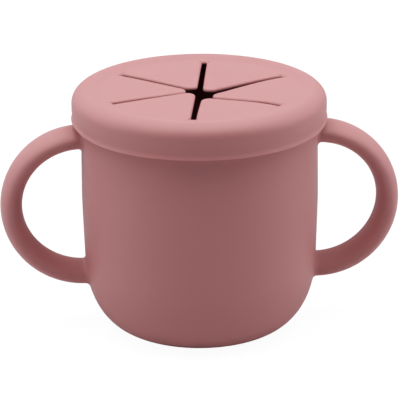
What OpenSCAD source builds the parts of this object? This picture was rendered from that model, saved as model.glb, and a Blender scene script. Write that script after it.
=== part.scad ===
// Toddler snack container: a two-handled silicone cup with a stretch-on lid.
// The lid's middle is a thin membrane cut by six slits into six flaps that a small hand pushes through.
// Frame: origin at the centre of the foot on the table, +Z up, handles along X.

/* [Cup] */
// Outer diameter of the cup's wall just under the rim
cup_d = 83; // [76:0.5:96]
// Outer diameter where the side wall meets the rounded bottom
cup_low_d = 81.6; // [74:0.1:92]
// Height of the rim above the table
cup_h = 82.4; // [76:0.1:110]
// Wall thickness
wall = 2.4; // [1.8:0.1:3.6]
// Thickness of the floor
floor_t = 3; // [2:0.1:5]
// Width of the rounded bottom corner, measured inwards
corner_w = 15.5; // [8:0.5:20]
// Height of the rounded bottom corner
corner_h = 24.5; // [12:0.5:32]
// Width of the ring that the cup stands on
foot_w = 4.3; // [2.5:0.1:8]
// Depth of the hollow inside that ring
foot_hollow = 0.8; // [0.3:0.1:1.4]

/* [Rim] */
// How far the snap bead stands out from the wall
rim_bead = 0.4; // [0.2:0.05:0.8]
// Height of the snap bead
bead_h = 2.2; // [1.2:0.1:3]
// Radius on the rim's two top edges
rim_round = 0.7; // [0.3:0.05:0.85]

/* [Handles] */
// Radius of the handle's bow, to the middle of its section
bow_r = 24.9; // [20:0.1:28]
// Thickness of the handle in the plane of the bow
handle_t = 7.6; // [5:0.1:10]
// Depth of the handle from front to back
handle_w = 15.2; // [9:0.1:20]
// How far the bow's centre lies inside the cup's outer wall
bow_inset = 0.5; // [0:0.1:3]
// Gap between the lid's edge and the top of the handle
handle_drop = 1.5; // [0.6:0.1:5]

/* [Lid] */
// Thickness of the lid's skirt
skirt_t = 2; // [1.4:0.1:3]
// How far the skirt reaches below the rim
skirt_h = 7.9; // [6:0.1:12]
// Radial clearance between the skirt and the snap bead
lid_gap = 0.1; // [0.05:0.05:0.3]
// How far the lid's crest stands above the rim
crown_h = 3.6; // [2.8:0.1:6]
// Width of the soft outer shoulder
shoulder_w = 5.1; // [3:0.1:8]
// Height of the soft outer shoulder
shoulder_h = 5.5; // [2:0.1:6]
// How far the lip at the skirt's lower edge stands out
lip_out = 0.25; // [0.1:0.05:0.6]
// Height of that lip
lip_h = 1.2; // [0.8:0.1:2]

/* [Plug ring] */
// Thickness of the ring that enters the cup's mouth
plug_t = 1.6; // [1.2:0.1:2.4]
// How deep the ring reaches below the rim
plug_depth = 3.6; // [2.4:0.1:6]
// Radial clearance between the ring and the cup's mouth
plug_gap = 0.2; // [0.1:0.05:0.4]
// How far the ring narrows towards its tip
plug_draft = 0.3; // [0:0.05:0.6]

/* [Membrane and slits] */
// Thickness of the slitted membrane
membrane_t = 1.2; // [0.8:0.1:1.6]
// How far the membrane lies below the crest
dish = 0.85; // [0.3:0.05:1.4]
// Width of the slope from the crest down to the membrane
dish_w = 5; // [2:0.1:6]
// Band of whole membrane between that slope and the slits' ends
slit_margin = 1.1; // [0.8:0.1:5]
// Width of a slit
slit_w = 1.8; // [1:0.05:2.5]
// Radius on a flap's tip
tip_r = 2.75; // [1.5:0.05:4]
// Turn of the star from the handles' axis, in degrees
star_turn = -7.2; // [-30:0.1:30]
// Clearance at the root of a flap, where it bends
hinge_gap = 0.05; // [0.03:0.01:0.1]

/* [Sag of the flaps at rest, in degrees] */
// Right flap
sag_angle_right = 5.3; // [0:0.1:8]
// Back right flap
sag_angle_back_right = 3.2; // [0:0.1:8]
// Back left flap
sag_angle_back_left = 1.4; // [0:0.1:8]
// Left flap
sag_angle_left = 1.1; // [0:0.1:8]
// Front left flap
sag_angle_front_left = 0.2; // [0:0.1:8]
// Front right flap
sag_angle_front_right = 5; // [0:0.1:8]

/* [Hidden] */
$fn = 96;

// Steps along each curved stretch of a profile
curve_n = 14;

// Cup, from its driving sizes
rim_r = cup_d / 2;
low_r = cup_low_d / 2;
base_r = low_r - corner_w;
mouth_r = rim_r - wall;
bead_z = cup_h - rim_round - bead_h / 2;
foot_slope = foot_hollow * 1.5;

// Handle: centre of the bow, and a stub that reaches well into the wall
bow_x = rim_r - bow_inset;
bow_z = cup_h - skirt_h - handle_drop - handle_t / 2 - bow_r;
stub = bow_x - base_r;
oval_power = 2.2;
oval_n = 32;

// Lid: it seats on the rim, and its skirt hangs outside the snap bead
skirt_in_r = rim_r + rim_bead + lid_gap;
lid_r = skirt_in_r + skirt_t;
edge_z = cup_h - skirt_h;
crest_r = lid_r - shoulder_w;
crest_z = cup_h + crown_h;
edge_round = 0.5;
channel_round = 0.4;
plug_r = mouth_r - plug_gap;
plug_tip_round = plug_t * 0.45;
plug_root_round = 1;

// Membrane, and the chord on which each flap bends
top_z = crest_z - dish;
under_z = top_z - membrane_t;
slit_r = crest_r - dish_w - slit_margin;
flap_n = 6;
half_step = 180 / flap_n;
chord_u = slit_r * cos(half_step);
root_r = membrane_t / 2;
hinge_u = chord_u - hinge_gap - root_r;
hinge_z = top_z - root_r;
root_half_w = (hinge_u - slit_w / 2 / sin(half_step)) * tan(half_step);
tip_u = (slit_w / 2 + tip_r) / sin(half_step);

// Points on an ellipse from angle a0 to a1
function arc(cx, cz, rx, rz, a0, a1) =
    [for (i = [0:curve_n]) let (a = a0 + (a1 - a0) * i / curve_n) [cx + rx * cos(a), cz + rz * sin(a)]];

// Points on a soft step from p to q, level at both ends in the second coordinate
function ease(p, q) =
    [for (i = [0:curve_n]) let (s = i / curve_n)
        [p[0] + (q[0] - p[0]) * s, p[1] + (q[1] - p[1]) * (1 - cos(180 * s)) / 2]];

// Points on a soft step from p to q, upright at both ends
function ease_up(p, q) =
    [for (i = [0:curve_n]) let (s = i / curve_n)
        [p[0] + (q[0] - p[0]) * (1 - cos(180 * s)) / 2, p[1] + (q[1] - p[1]) * s]];

function signed_power(v, k) = sign(v) * pow(abs(v), k);

// The handle's section: a full oval, thickness along the first coordinate
function oval(at) =
    [for (i = [0:oval_n - 1]) let (a = 360 * i / oval_n)
        [at + handle_t / 2 * signed_power(cos(a), 2 / oval_power),
         handle_w / 2 * signed_power(sin(a), 2 / oval_power)]];

// Outside of the cup from the foot's edge up to the snap bead
function cup_outside() = concat(
    arc(base_r, corner_h, corner_w, corner_h, -90, 0),
    arc(rim_r, bead_z, rim_bead, bead_h / 2, -90, 90));

module cup_section() {
    polygon(concat(
        [[0, foot_hollow], [base_r - foot_w - foot_slope, foot_hollow], [base_r - foot_w, 0]],
        cup_outside(),
        arc(rim_r - rim_round, cup_h - rim_round, rim_round, rim_round, 0, 90),
        arc(mouth_r + rim_round, cup_h - rim_round, rim_round, rim_round, 90, 180),
        arc(base_r, corner_h, corner_w - wall, corner_h - floor_t, 0, -90),
        [[0, floor_t]]));
}

// One moulding with the handles: a round cup with a deep soft corner and a snap bead on its rim
module cup_body() {
    color("#c4888b") rotate_extrude() cup_section();
}

// The room that the cup takes up, which the handles are trimmed to
module cup_envelope() {
    rotate_extrude()
        polygon(concat([[0, 0]], cup_outside(), [[0, bead_z + bead_h / 2]]));
}

// A half-round bow of oval section, run straight into the wall at both ends
module handle() {
    color("#c4888b") difference() {
        union() {
            translate([bow_x, 0, bow_z]) rotate([90, 0, 0]) rotate([0, 0, -90])
                rotate_extrude(angle = 180) polygon(oval(bow_r));
            for (side = [-1, 1])
                translate([bow_x, 0, bow_z + side * bow_r]) rotate([0, -90, 0])
                    linear_extrude(stub) polygon(oval(0));
        }
        cup_envelope();
    }
}

module handle_right() {
    handle();
}

module handle_left() {
    mirror([1, 0, 0]) handle();
}

// The lid's section: lip, skirt, soft shoulder, crest, dished top, plug ring and rim channel
module lid_section() {
    polygon(concat(
        [[0, under_z]],
        arc(plug_r - plug_t - plug_root_round, under_z - plug_root_round, plug_root_round, plug_root_round, 90, 0),
        arc(plug_r - plug_draft - plug_t + plug_tip_round, cup_h - plug_depth + plug_tip_round,
            plug_tip_round, plug_tip_round, 180, 270),
        arc(plug_r - plug_draft - plug_tip_round, cup_h - plug_depth + plug_tip_round,
            plug_tip_round, plug_tip_round, -90, 0),
        [[plug_r, cup_h]],
        arc(skirt_in_r - channel_round, cup_h - channel_round, channel_round, channel_round, 90, 0),
        arc(skirt_in_r + edge_round, edge_z + edge_round, edge_round, edge_round, 180, 270),
        arc(lid_r + lip_out - edge_round, edge_z + edge_round, edge_round, edge_round, -90, 0),
        ease_up([lid_r + lip_out, edge_z + edge_round], [lid_r, edge_z + lip_h]),
        arc(crest_r, crest_z - shoulder_h, shoulder_w, shoulder_h, 0, 90),
        ease([crest_r, crest_z], [crest_r - dish_w, top_z]),
        [[0, top_z]]));
}

// The hole that the six flaps fill: a hexagon whose corners are the slits' square ends
module window() {
    translate([0, 0, under_z - membrane_t]) linear_extrude(3 * membrane_t) {
        polygon([for (i = [0:flap_n - 1]) let (a = star_turn + half_step * (2 * i + 1)) slit_r * [cos(a), sin(a)]]);
        for (i = [0:flap_n - 1])
            rotate(star_turn + half_step * (2 * i + 1))
                translate([slit_r / 2, -slit_w / 2]) square([slit_r / 2, slit_w]);
    }
}

// One moulding with the flaps: it stretches over the rim and grips under the snap bead
module lid_cap() {
    color("#d8a3a5") difference() {
        rotate_extrude() lid_section();
        window();
    }
}

// A flap seen from above: two slit edges that meet in a round tip
module flap_outline() {
    polygon(concat(
        [for (i = [0:curve_n]) let (a = 90 + half_step + (180 - 2 * half_step) * i / curve_n)
            [tip_u + tip_r * cos(a), tip_r * sin(a)]],
        [[hinge_u, -root_half_w], [hinge_u, root_half_w]]));
}

// A flap: flat plate with a round root about its bending line, sagging by an angle towards its tip
module flap(place, sag) {
    color("#d8a3a5") rotate(star_turn + 2 * half_step * place)
        translate([hinge_u, 0, hinge_z]) rotate([0, -sag, 0]) translate([-hinge_u, 0, 0]) {
            translate([0, 0, -root_r]) linear_extrude(membrane_t) flap_outline();
            translate([hinge_u, 0, 0]) rotate([90, 0, 0])
                cylinder(r = root_r, h = 2 * root_half_w, center = true);
        }
}

module flap_right() {
    flap(0, sag_angle_right);
}

module flap_back_right() {
    flap(1, sag_angle_back_right);
}

module flap_back_left() {
    flap(2, sag_angle_back_left);
}

module flap_left() {
    flap(3, sag_angle_left);
}

module flap_front_left() {
    flap(4, sag_angle_front_left);
}

module flap_front_right() {
    flap(5, sag_angle_front_right);
}

cup_body();
handle_left();
handle_right();
lid_cap();
flap_right();
flap_back_right();
flap_back_left();
flap_left();
flap_front_left();
flap_front_right();
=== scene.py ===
import math
import bmesh
import bpy
import numpy as np
from mathutils import Matrix, Vector


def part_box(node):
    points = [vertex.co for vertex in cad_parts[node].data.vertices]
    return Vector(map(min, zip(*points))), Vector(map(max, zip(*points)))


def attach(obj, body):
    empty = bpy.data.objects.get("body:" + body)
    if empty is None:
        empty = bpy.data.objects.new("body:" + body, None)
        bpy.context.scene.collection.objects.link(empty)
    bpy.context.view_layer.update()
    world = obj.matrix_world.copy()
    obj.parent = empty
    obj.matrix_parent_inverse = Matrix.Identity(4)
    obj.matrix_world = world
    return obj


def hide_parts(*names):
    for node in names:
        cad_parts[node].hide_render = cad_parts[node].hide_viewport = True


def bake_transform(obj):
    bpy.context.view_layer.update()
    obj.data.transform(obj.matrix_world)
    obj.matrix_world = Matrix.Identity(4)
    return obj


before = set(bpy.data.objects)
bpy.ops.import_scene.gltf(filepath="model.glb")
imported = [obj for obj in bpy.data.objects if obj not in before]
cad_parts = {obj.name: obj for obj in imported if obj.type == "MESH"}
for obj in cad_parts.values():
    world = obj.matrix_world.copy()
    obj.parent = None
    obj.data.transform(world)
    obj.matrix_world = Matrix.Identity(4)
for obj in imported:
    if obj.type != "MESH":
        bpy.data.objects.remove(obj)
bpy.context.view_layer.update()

# Camera, as the photograph was taken: from a little above and a hair to the left, through a long lens.
# Its distance, height, lens and slight roll come from the outline of the cup, its lid and its handles.
sight_point = Vector((0, 0, 0.040))
camera_distance = 0.820
camera_turn = math.radians(-3.635)
camera_rise = math.radians(20.58)
camera_roll = math.radians(-0.511)
focal_pixels = 2338
sight_below_centre = math.atan(12.06 / focal_pixels)
back = Vector((math.sin(camera_turn) * math.cos(camera_rise),
               -math.cos(camera_turn) * math.cos(camera_rise),
               math.sin(camera_rise)))
right = Vector((0, 0, 1)).cross(back).normalized()
up = back.cross(right)
place = sight_point + back * camera_distance
back = (back * math.cos(sight_below_centre) - up * math.sin(sight_below_centre)).normalized()
up = back.cross(right)
rolled_right = right * math.cos(camera_roll) + up * math.sin(camera_roll)
rolled_up = up * math.cos(camera_roll) - right * math.sin(camera_roll)
camera = bpy.data.objects.new("camera", bpy.data.cameras.new("camera"))
camera.data.sensor_width = 36
camera.data.lens = 210.4
camera.data.clip_end = 20
camera.matrix_world = Matrix((
    (rolled_right.x, rolled_up.x, back.x, place.x),
    (rolled_right.y, rolled_up.y, back.y, place.y),
    (rolled_right.z, rolled_up.z, back.z, place.z),
    (0, 0, 0, 1)))
bpy.context.collection.objects.link(camera)
bpy.context.scene.camera = camera

# Cup: one compression moulding of soft food-grade silicone, 2.4 mm thick, with a deep round bottom corner.
# Its wall bulges a hair at half height, it stands on a narrow ring, and a bead round its rim holds the lid.
mm = 0.001
cup_r = 41.5 * mm
low_r = 40.6 * mm
belly_r = 41.24 * mm
belly_z = 47.0 * mm
belly_soft = 0.1 * mm
lean_below = 0.029
lean_above = 0.0127
swell_h = 6.0 * mm
cup_h = 82.4 * mm
wall = 2.4 * mm
floor_t = 3.0 * mm
corner_w = 15.3 * mm
corner_h = 24.5 * mm
corner_end = math.atan(lean_below * corner_h / corner_w)
base_r = low_r - corner_w
foot_w = 4.3 * mm
foot_hollow = 0.8 * mm
foot_soft = 0.5 * mm
hollow_r = base_r - foot_w - 2 * foot_hollow
centre_r = 2.0 * mm
rim_bead = 0.4 * mm
bead_h = 2.2 * mm
rim_round = 0.7 * mm
bead_z = cup_h - rim_round - bead_h / 2
round_steps = 288


def arc(centre, radii, start, end, steps=12):
    """Points (r, z) on an ellipse, from one angle to another in degrees."""
    angles = np.radians(np.linspace(start, end, steps + 1))
    return [(centre[0] + radii[0] * math.cos(a), centre[1] + radii[1] * math.sin(a)) for a in angles]


def line(start, end, steps):
    """Points (r, z) between two ends, both left out."""
    shares = np.linspace(0, 1, steps + 1)[1:-1]
    return [(start[0] + (end[0] - start[0]) * s, start[1] + (end[1] - start[1]) * s) for s in shares]


def skin(name, loops, wrap=False):
    """A closed mesh of quads between loops of points, its ends joined to each other or capped."""
    mesh = bmesh.new()
    rings = [[mesh.verts.new(p) for p in loop] for loop in loops]
    pairs = list(zip(rings, rings[1:]))
    if wrap:
        pairs.append((rings[-1], rings[0]))
    else:
        mesh.faces.new(reversed(rings[0]))
        mesh.faces.new(rings[-1])
    for one, two in pairs:
        count = len(one)
        for i in range(count):
            j = (i + 1) % count
            mesh.faces.new((one[i], one[j], two[j], two[i]))
    return finished(name, mesh)


def finished(name, mesh, sharp=math.radians(38)):
    """Turns a bmesh into an object, smooth but for its sharp edges."""
    bmesh.ops.remove_doubles(mesh, verts=mesh.verts, dist=1e-7)
    bmesh.ops.recalc_face_normals(mesh, faces=mesh.faces)
    for face in mesh.faces:
        face.smooth = True
    for edge in mesh.edges:
        edge.smooth = edge.calc_face_angle(0) < sharp
    data = bpy.data.meshes.new(name)
    mesh.to_mesh(data)
    mesh.free()
    piece = bpy.data.objects.new(name, data)
    bpy.context.collection.objects.link(piece)
    return piece


def circle(radius, height, angles):
    return [(radius * math.cos(a), radius * math.sin(a), height) for a in angles]


def eased(share):
    """A share from 0 to 1 that starts and ends level."""
    share = np.clip(share, 0, 1)
    return share * share * (3 - 2 * share)


def cup_radius(z):
    """Outside radius at a height: round corner, wall leaning out to a belly, then in, swell to the rim."""
    z = np.asarray(z, float)
    corner = base_r + corner_w * np.sqrt(np.clip(1 - ((corner_h - z) / corner_h) ** 2, 0, 1))
    joint_z = corner_h * (1 - math.sin(corner_end))
    below = base_r + corner_w * math.cos(corner_end) + lean_below * (z - joint_z)
    above = belly_r - lean_above * (z - belly_z)
    side = (below + above - np.sqrt((below - above) ** 2 + belly_soft ** 2)) / 2
    side += (cup_r - side) * eased((z - bead_z + bead_h / 2 + swell_h) / swell_h)
    return np.where(z < joint_z, corner, side)


turn_angles = np.radians(np.arange(round_steps) * 360 / round_steps)
cup_profile = (
    [(centre_r, foot_hollow)]
    + line((centre_r, foot_hollow), (hollow_r, foot_hollow), 6)
    + [(hollow_r, foot_hollow)]
    + arc((base_r - foot_w + foot_soft, foot_soft), (foot_soft, foot_soft), 215, 270, 5)
    + arc((base_r, corner_h), (corner_w, corner_h), -90, -math.degrees(corner_end), 40)
    + [(float(cup_radius(z)), z) for _, z in line((low_r, corner_h), (cup_r, bead_z - bead_h / 2), 60)]
    + arc((cup_r, bead_z), (rim_bead, bead_h / 2), -90, 90, 10)
    + arc((cup_r - rim_round, cup_h - rim_round), (rim_round, rim_round), 0, 90, 6)
    + arc((cup_r - wall + rim_round, cup_h - rim_round), (rim_round, rim_round), 90, 180, 6)
    + line((cup_r - wall, cup_h - rim_round), (low_r - wall, corner_h), 20)
    + arc((base_r, corner_h), (corner_w - wall, corner_h - floor_t), 0, -90, 24)
    + line((base_r, floor_t), (centre_r, floor_t), 8)
    + [(centre_r, floor_t)])
cup = skin("cup", [circle(r, z, turn_angles) for r, z in cup_profile])


def linear(hex_colour):
    """sRGB hex, as a paint chart gives it, to the linear colour that a shader takes."""
    parts = [int(hex_colour[i:i + 2], 16) / 255 for i in (1, 3, 5)]
    return [p / 12.92 if p <= 0.04045 else ((p + 0.055) / 1.055) ** 2.4 for p in parts] + [1]


def add(tree, kind, settings=(), inputs=(), **links):
    """Adds a shader node with its settings, its socket values and the sockets that feed it."""
    node = tree.nodes.new(kind)
    for key, value in dict(settings).items():
        setattr(node, key, value)
    for key, value in dict(inputs).items():
        node.inputs[key].default_value = value
    for key, source in links.items():
        tree.links.new(source, node.inputs[key.replace("_", " ")])
    return node


def silicone(name, body, pale, rough_low, rough_high):
    """Silicone rubber pressed in a blasted steel mould: dull, with a fine grain and faint clouds of tint.
    IOR 1.41 is silicone's own. The grain is about 0.1 mm on the real cup and is drawn at 0.4 mm to show."""
    cloud_size = 30 * mm
    grain_size = 0.4 * mm
    grain_depth = 0.02 * mm
    material = bpy.data.materials.new(name)
    material.use_nodes = True
    tree = material.node_tree
    shader = tree.nodes["Principled BSDF"]
    place = add(tree, "ShaderNodeTexCoord")
    cloud = add(tree, "ShaderNodeTexNoise", inputs={"Scale": 1 / cloud_size, "Detail": 3, "Roughness": 0.5},
                Vector=place.outputs["Object"])
    tint = add(tree, "ShaderNodeMix", settings={"data_type": "RGBA"}, Factor=cloud.outputs["Fac"])
    first_colour, second_colour, mixed_colour = tint.inputs[6], tint.inputs[7], tint.outputs[2]
    first_colour.default_value = linear(body)
    second_colour.default_value = linear(pale)
    tree.links.new(mixed_colour, shader.inputs["Base Color"])
    grain = add(tree, "ShaderNodeTexNoise", inputs={"Scale": 1 / grain_size, "Detail": 2, "Roughness": 0.6},
                Vector=place.outputs["Object"])
    rough = add(tree, "ShaderNodeMapRange", inputs={"To Min": rough_low, "To Max": rough_high},
                Value=grain.outputs["Fac"])
    tree.links.new(rough.outputs["Result"], shader.inputs["Roughness"])
    bump = add(tree, "ShaderNodeBump", inputs={"Strength": 0.05, "Distance": grain_depth},
               Height=grain.outputs["Fac"])
    tree.links.new(bump.outputs["Normal"], shader.inputs["Normal"])
    shader.inputs["IOR"].default_value = 1.41
    return material


rose_silicone = silicone("rose_silicone_matte_moulded", "#BA8485", "#BC8687", 0.48, 0.58)


def dress(piece, material, body, slot, *nodes):
    """Gives a piece its material, the body that carries it and the nodes that it stands for."""
    piece.data.materials.append(material)
    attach(piece, body)
    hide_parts(*nodes)


dress(cup, rose_silicone, "cup", "cup_silicone", "cup_body")

# Handles: two half-round bows of flat oval section, pressed in one mould with the cup.
# They are drawn as pieces of their own, flared at their ends and sunk into the wall.
bow_r = 24.9 * mm
handle_t = 7.6 * mm
handle_w = 15.2 * mm
bow_inset = 0.5 * mm
bow_x = cup_r - bow_inset
bow_z = (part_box("handle_right")[0].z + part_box("handle_right")[1].z) / 2
flare = 1.4 * mm
buried = 1.0 * mm
oval_steps = 64
bow_steps = 96
section = np.radians(np.arange(oval_steps) * 360 / oval_steps)
section_in = handle_t / 2 * np.cos(section)
section_y = handle_w / 2 * np.sin(section)
along = np.stack([np.roll(side, -1) - np.roll(side, 1) for side in (section_in, section_y)])
along /= np.linalg.norm(along, axis=0)
normal_in, normal_y = along[1], -along[0]


def bow_points(angle, proud):
    """Points of the section at an angle on the bow, each moved out by proud along its normal."""
    reach = bow_r + section_in + proud * normal_in
    x = bow_x + reach * np.cos(angle)
    z = bow_z + reach * np.sin(angle)
    return np.stack([x, section_y + proud * normal_y, z], 1)


def bow_meets_wall(proud, stand_off, side, clear=math.radians(55), inside=math.radians(105), halvings=40):
    """Angle on the bow at which each point of the section stands a given distance off the wall."""
    near, far = np.full(oval_steps, clear), np.full(oval_steps, inside)
    for _ in range(halvings):
        middle = (near + far) / 2
        points = bow_points(side * middle, proud)
        wall_x = np.sqrt(np.clip(cup_radius(points[:, 2]) ** 2 - points[:, 1] ** 2, 0, None))
        outside = points[:, 0] - wall_x > stand_off
        near, far = np.where(outside, middle, near), np.where(outside, far, middle)
    return side * near


def flare_loops(side):
    """Loops from inside the wall out along the flare, where the moulding's fillet runs onto the bow."""
    loops = [bow_points(bow_meets_wall(flare, -buried, side), flare)]
    for turn in np.radians(np.linspace(90, 0, 10)):
        stand_off, proud = flare * (1 - math.sin(turn)), flare * (1 - math.cos(turn))
        loops.append(bow_points(bow_meets_wall(proud, stand_off, side), proud))
    return loops


def handle(name, mirrored):
    start, end = bow_meets_wall(0, flare, 1), bow_meets_wall(0, flare, -1)
    bow = [bow_points(start + (end - start) * s, 0) for s in np.linspace(0, 1, bow_steps + 1)[1:-1]]
    loops = flare_loops(1) + bow + flare_loops(-1)[::-1]
    if mirrored:
        loops = [loop * (-1, 1, 1) for loop in loops]
    return skin(name, loops)


for name, mirrored in (("handle_right", False), ("handle_left", True)):
    dress(handle(name + "_bow", mirrored), rose_silicone, "cup", "cup_silicone", name)

# Lid: one silicone moulding that stretches over the rim, with a lip at the skirt's edge to pull it off by.
# Its channel takes the rim, its plug ring sits in the mouth, and its dished middle carries the slits' star.
# A shallow hollow sets the lip off from the skirt, and over each handle the skirt's edge rides up a little.
lid_r = 44.0 * mm
skirt_h = 8.03 * mm
channel_play = 0.1 * mm
skirt_in_r = cup_r + rim_bead + channel_play
edge_z = cup_h - skirt_h
crest_h = 3.6 * mm
crest_z = cup_h + crest_h
shoulder_w = 4.9 * mm
shoulder_h = 4.8 * mm
shoulder_powers = (1.75, 2.1)
crest_r = lid_r - shoulder_w
lip_out = 0.25 * mm
lip_h = 1.5 * mm
lip_power = 1.2
lip_round = 0.12 * mm
hollow = 0.26 * mm
hollow_h = 3.2 * mm
ride_up = 1.2 * mm
ride_h = 4.0 * mm
ride_power = 8
edge_round = 0.5 * mm
channel_round = 0.4 * mm
dish = 0.85 * mm
dish_w = 5.2 * mm
membrane_t = 1.2 * mm
top_z = crest_z - dish
under_z = top_z - membrane_t
plug_play = 0.2 * mm
plug_r = cup_r - wall - plug_play
plug_t = 1.6 * mm
plug_depth = 3.6 * mm
plug_draft = 0.3 * mm
plug_tip = 0.45 * plug_t
plug_root = 1.0 * mm
slit_r = 32.8 * mm
slit_w = 1.8 * mm
slit_soft = 0.8 * mm
slit_under_soft = 0.3 * mm
slit_end_power = 0.75
cut_land = 0.1 * mm
star_land = 1.2 * mm
star_turn = math.radians(-7.2)
sixth = math.radians(60)
chord_u = slit_r * math.cos(sixth / 2)
chord_steps = 44


def soft_levels(steps=7):
    """(inset, height) down the wall of a cut, from its well rounded top edge to its lower edge."""
    quarter = [(1 - math.cos(a), 1 - math.sin(a)) for a in np.radians(np.linspace(90, 0, steps + 1))]
    upper = [(slit_soft * inset, top_z - slit_soft * down) for inset, down in quarter]
    lower = [(slit_under_soft * inset, under_z + slit_under_soft * down) for inset, down in quarter[::-1]]
    return [(slit_soft + cut_land, top_z)] + upper + lower + [(slit_under_soft + cut_land, under_z)]


def power(value, exponent):
    return np.sign(value) * np.abs(value) ** exponent


def window_sixth(grow, level=1):
    """One sixth of the window's edge, from the middle of a slit's blunt round end to the next one."""
    half = slit_w / 2 + grow
    chord = chord_u + (cut_land if level in (0, len(edge_levels) - 1) else 0)
    along_slit = (chord - half * math.sin(sixth / 2)) / math.cos(sixth / 2)
    shares = [(power(math.cos(a), slit_end_power), power(math.sin(a), slit_end_power))
              for a in np.radians(np.linspace(0, 90, 9))]
    round_end = [(slit_r - slit_w / 2 + half * out, half * aside) for out, aside in shares]
    start = round_end + [(along_slit, half)]
    first = np.array([along_slit, half])
    last = rotate([(along_slit, -half)], sixth)[0]
    between = [first + (last - first) * s for s in np.linspace(0, 1, chord_steps + 1)[1:-1]]
    end = rotate([(along_slit, -half)] + [(u, -v) for u, v in round_end[:0:-1]], sixth)
    return np.array(start + between + list(end))


def rotate(points, angle):
    """Points turned about the axis, counted anticlockwise from above."""
    points = np.asarray(points, float)
    cos, sin = math.cos(angle), math.sin(angle)
    turned = points.copy()
    turned[:, 0] = points[:, 0] * cos - points[:, 1] * sin
    turned[:, 1] = points[:, 0] * sin + points[:, 1] * cos
    return turned


def window(grow, height, level=1):
    """The whole edge of the window in the lid: six chords with a slit's blunt round end at each corner."""
    sixths = [rotate(window_sixth(grow, level), star_turn + sixth * (i + 0.5)) for i in range(6)]
    flat = np.concatenate(sixths)
    return np.column_stack([flat, np.full(len(flat), height)])


def trumpet(start, end, steps=8):
    """Points (r, z) on a flare that leans out a little more towards its end."""
    return [(start[0] + (end[0] - start[0]) * s ** lip_power, start[1] + (end[1] - start[1]) * s)
            for s in np.linspace(0, 1, steps + 1)]


def skirt_ring(radius, height):
    """A ring of the lid, whose soft lower edge rides up over the two handles."""
    rise = ride_up * float(eased((edge_z + ride_h - height) / ride_h))
    level_ring = circle(radius, height, lid_angles)
    return [(x, y, z + rise * math.cos(a) ** ride_power) for a, (x, y, z) in zip(lid_angles, level_ring)]


def ramp(start, end, steps=14):
    """Points (r, z) on an almost straight ramp whose two ends are eased."""
    return [(start[0] + (end[0] - start[0]) * s,
             start[1] + (end[1] - start[1]) * (0.5 * s + 0.25 * (1 - math.cos(math.pi * s))))
            for s in np.linspace(0, 1, steps + 1)]


def soft_corner(centre, radii, powers, steps=32):
    """Points (r, z) from the top down on a quarter of an ellipse; with powers 2 and 2 it is a true one."""
    shares = [(power(math.cos(a), 2 / powers[0]), power(math.sin(a), 2 / powers[1]))
              for a in np.radians(np.linspace(90, 0, steps + 1))]
    return [(centre[0] + radii[0] * out, centre[1] + radii[1] * rise) for out, rise in shares]


edge_levels = soft_levels()
lid_angles = np.arctan2(window(0, 0)[:, 1], window(0, 0)[:, 0])
lip_z = edge_z + lip_h
plug_end_r = plug_r - plug_draft
plug_end_z = cup_h - plug_depth + plug_tip
lid_profile = (
    ramp((crest_r, crest_z), (crest_r - dish_w, top_z))[::-1]
    + soft_corner((crest_r, crest_z - shoulder_h), (shoulder_w, shoulder_h), shoulder_powers)
    + line((lid_r, crest_z - shoulder_h), (lid_r, lip_z + hollow_h), 4)
    + [(lid_r - hollow * float(eased(s)), lip_z + hollow_h * (1 - s)) for s in np.linspace(0, 1, 9)[:-1]]
    + trumpet((lid_r - hollow, lip_z), (lid_r + lip_out, edge_z + lip_round))
    + arc((lid_r + lip_out - lip_round, edge_z + lip_round), (lip_round, lip_round), 0, -90, 6)
    + arc((skirt_in_r + edge_round, edge_z + edge_round), (edge_round, edge_round), 270, 180, 6)
    + line((skirt_in_r, edge_z + edge_round), (skirt_in_r, cup_h - channel_round), 5)
    + arc((skirt_in_r - channel_round, cup_h - channel_round), (channel_round, channel_round), 0, 90, 4)
    + [(plug_r, cup_h)]
    + arc((plug_end_r - plug_tip, plug_end_z), (plug_tip, plug_tip), 0, -90, 6)
    + arc((plug_end_r - plug_t + plug_tip, plug_end_z), (plug_tip, plug_tip), 270, 180, 6)
    + arc((plug_r - plug_t - plug_root, under_z - plug_root), (plug_root, plug_root), 0, 90, 6)
    + [(slit_r + star_land, under_z)])
windows = [window(inset, height, level) for level, (inset, height) in enumerate(edge_levels)]
lid = skin("lid_ring", windows[::-1] + [skirt_ring(r, z) for r, z in lid_profile], wrap=True)
dress(lid, rose_silicone, "lid", "lid_silicone", "lid_cap")

# Flaps: the six petals that the slits leave in the lid's membrane, 1.2 mm thick with round tips.
# Each bends along the line between its slits' ends, and each has sagged by its own small angle.
tip_r = 2.75 * mm
hinge_gap = 0.05 * mm
hinge_u = chord_u - hinge_gap - membrane_t / 2
hinge_z = top_z - membrane_t / 2
sag_length = 24.0 * mm
tip_u = (slit_w / 2 + tip_r) / math.sin(sixth / 2)
sag_degrees = {"right": 5.3, "back_right": 3.2, "back_left": 1.4,
               "left": 1.1, "front_left": 0.2, "front_right": 5.0}
across = (0, 0.015, 0.08, 0.22, 0.4, 0.6, 0.78, 0.92, 0.985, 1)


def flap_side(inset):
    """One long edge of a flap from its root to its tip, as (distance from the axis, half width)."""
    meeting = (slit_w / 2 + inset) / math.sin(sixth / 2)
    tangent_u = tip_u - (tip_r - inset) * math.sin(sixth / 2)
    straight = [(u, (u - meeting) * math.tan(sixth / 2)) for u in np.linspace(chord_u, tangent_u, 40)[:-1]]
    turns = np.linspace(math.radians(90) + sixth / 2, math.radians(180), 13)
    tip = [(tip_u + (tip_r - inset) * math.cos(a), (tip_r - inset) * math.sin(a)) for a in turns]
    return np.array(straight + tip)


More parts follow.
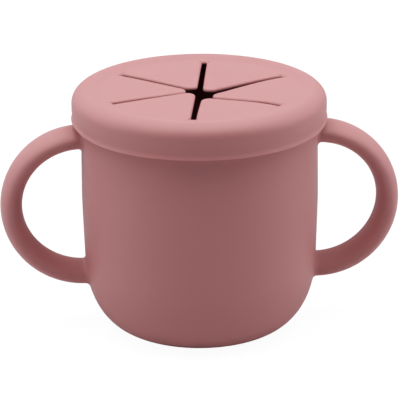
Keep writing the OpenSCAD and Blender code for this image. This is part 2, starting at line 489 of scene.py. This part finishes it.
def flap_mesh():
    """A flat flap along +X, its edges rounded, with rows of points across it so that it can bend."""
    mesh = bmesh.new()
    levels = []
    for inset, height in edge_levels:
        side = flap_side(inset)
        rows = []
        for u, half in side[:-1]:
            rows.append([mesh.verts.new((u, half, height)), mesh.verts.new((u, -half, height))])
        tip = mesh.verts.new((side[-1][0], 0, height))
        levels.append((rows + [[tip, tip]], height))
    for (upper, _), (lower, _) in zip(levels, levels[1:]):
        for edge in (0, 1):
            for k in range(len(upper) - 1):
                mesh.faces.new((upper[k][edge], upper[k + 1][edge], lower[k + 1][edge], lower[k][edge]))
    grids = []
    for rows, height in (levels[0], levels[-1]):
        grid = []
        for left, right in rows[:-1]:
            inner = [mesh.verts.new(left.co.lerp(right.co, s)) for s in across[1:-1]]
            grid.append([left] + inner + [right])
        for one, two in zip(grid, grid[1:]):
            for i in range(len(across) - 1):
                mesh.faces.new((one[i], one[i + 1], two[i + 1], two[i]))
        tip = rows[-1][0]
        for i in range(len(across) - 1):
            mesh.faces.new((grid[-1][i], grid[-1][i + 1], tip))
        grids.append(grid)
    root = grids[0][0] + [rows[0][1] for rows, _ in levels[1:-1]] + grids[1][0][::-1]
    root += [rows[0][0] for rows, _ in reversed(levels[1:-1])]
    mesh.faces.new(root)
    return mesh


def bend_down(points, sag):
    """Lets a flap sag about its root line, ever more steeply towards its tip."""
    share = np.clip((chord_u - points[:, 0]) / sag_length, 0, 1)
    angle = sag * share * (2 - share)
    u, z = points[:, 0] - hinge_u, points[:, 2] - hinge_z
    bent = points.copy()
    bent[:, 0] = hinge_u + u * np.cos(angle) - z * np.sin(angle)
    bent[:, 2] = hinge_z + u * np.sin(angle) + z * np.cos(angle)
    return bent


for place_number, (side_name, degrees) in enumerate(sag_degrees.items()):
    flap = finished("flap_" + side_name + "_petal", flap_mesh())
    flat = np.array([v.co for v in flap.data.vertices])
    facing = star_turn + sixth * place_number
    bent = rotate(bend_down(flat, math.radians(degrees)), facing)
    flap.data.vertices.foreach_set("co", bent.astype(np.float32).ravel())
    flap.data.update()
    flap.data.materials.append(rose_silicone)
    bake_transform(flap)
    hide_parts("flap_" + side_name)

# Floor and backdrop: a seamless sheet of white paper, laid flat under the cup and curving up behind it.
# The camera sees it almost burnt out. The cup is lit by a second sheet just under it, which bounces back
# less light.
sweep_half = 3.0
sweep_rise = 3.0
sweep_bend = 1.2
bend_steps = 12


def paper_sheet(name, drop, grey, glow):
    """The sheet, drop below the floor, with its grey level and the even light that burns it out."""
    flat_end = sweep_half - sweep_bend
    profile = [(-sweep_half, -drop), (flat_end, -drop)]
    profile += [(flat_end + sweep_bend * math.sin(a), sweep_bend - sweep_bend * math.cos(a) - drop)
                for a in np.radians(np.linspace(90 / bend_steps, 90, bend_steps))]
    profile.append((sweep_half, sweep_rise))
    mesh = bmesh.new()
    left, right = [[mesh.verts.new((x, y, z)) for y, z in profile] for x in (-sweep_half, sweep_half)]
    for i in range(len(profile) - 1):
        mesh.faces.new((left[i], right[i], right[i + 1], left[i + 1]))
    sheet = finished(name, mesh)
    paper = bpy.data.materials.new(name + "_matte_paper")
    paper.use_nodes = True
    shader = paper.node_tree.nodes["Principled BSDF"]
    shader.inputs["Base Color"].default_value = (grey, grey, grey, 1)
    shader.inputs["Roughness"].default_value = 0.9
    shader.inputs["Specular IOR Level"].default_value = 0.0
    shader.inputs["Emission Color"].default_value = (1, 1, 1, 1)
    shader.inputs["Emission Strength"].default_value = glow
    sheet.data.materials.append(paper)
    return sheet


white_sheet = paper_sheet("white_sheet", drop=0.0, grey=0.1, glow=0.94)
white_sheet.visible_diffuse = False
white_sheet.visible_glossy = False
white_sheet.visible_shadow = False
bounce_sheet = paper_sheet("bounce_sheet", drop=1.0 * mm, grey=0.6, glow=0.085)
bounce_sheet.visible_camera = False

# Light: a soft box overhead, a steep weak one in front, a high and a low one on each side, and weak ones
# behind, as the shading shows. The side that faces the camera gets the least.
# The tone curve is the photograph's own, a little deeper in the darks.
box_distance = 1.3
world = bpy.data.worlds.new("studio_air")
world.use_nodes = True
world.node_tree.nodes["Background"].inputs["Color"].default_value = (0, 0, 0, 1)
bpy.context.scene.world = world


def soft_box(name, azimuth, elevation, size, watts):
    """A soft box aimed at the cup; its width runs level and its height runs upwards."""
    turn, rise = math.radians(azimuth), math.radians(elevation)
    aim = Vector((math.sin(turn) * math.cos(rise), -math.cos(turn) * math.cos(rise), math.sin(rise)))
    light = bpy.data.lights.new(name, "AREA")
    light.shape = "RECTANGLE"
    light.size, light.size_y = size
    light.energy = watts
    box = bpy.data.objects.new(name, light)
    box.location = sight_point + aim * box_distance
    box.rotation_mode = "QUATERNION"
    box.rotation_quaternion = aim.to_track_quat("Z", "Y")
    bpy.context.collection.objects.link(box)


soft_box("soft_box_top", 0, 90, (0.8, 0.8), 6.3)
soft_box("soft_box_front_steep", 0, 74, (1.2, 0.4), 1.7)
soft_box("soft_box_left_high", -90, 62, (1.5, 0.7), 6.8)
soft_box("soft_box_right_high", 90, 62, (1.5, 0.7), 5.4)
soft_box("soft_box_left_low", -92, 24, (0.9, 0.8), 4.0)
soft_box("soft_box_right_low", 92, 24, (0.9, 0.8), 5.3)
soft_box("soft_box_back_high", 180, 50, (1.2, 0.7), 1.8)
soft_box("soft_box_back_low", 180, 20, (1.2, 0.6), 0.9)
soft_box("soft_box_back_left", -135, 20, (0.7, 0.7), 1.9)
soft_box("soft_box_back_right", 135, 20, (0.7, 0.7), 1.0)
view = bpy.context.scene.view_settings
view.view_transform = "Standard"
view.use_curve_mapping = True
tone = view.curve_mapping.curves[3]
for scene_value, shown_value in ((0.1, 0.0818), (0.22, 0.2333), (0.45, 0.5067), (0.72, 0.7585)):
    tone.points.new(scene_value, shown_value)
view.curve_mapping.update()
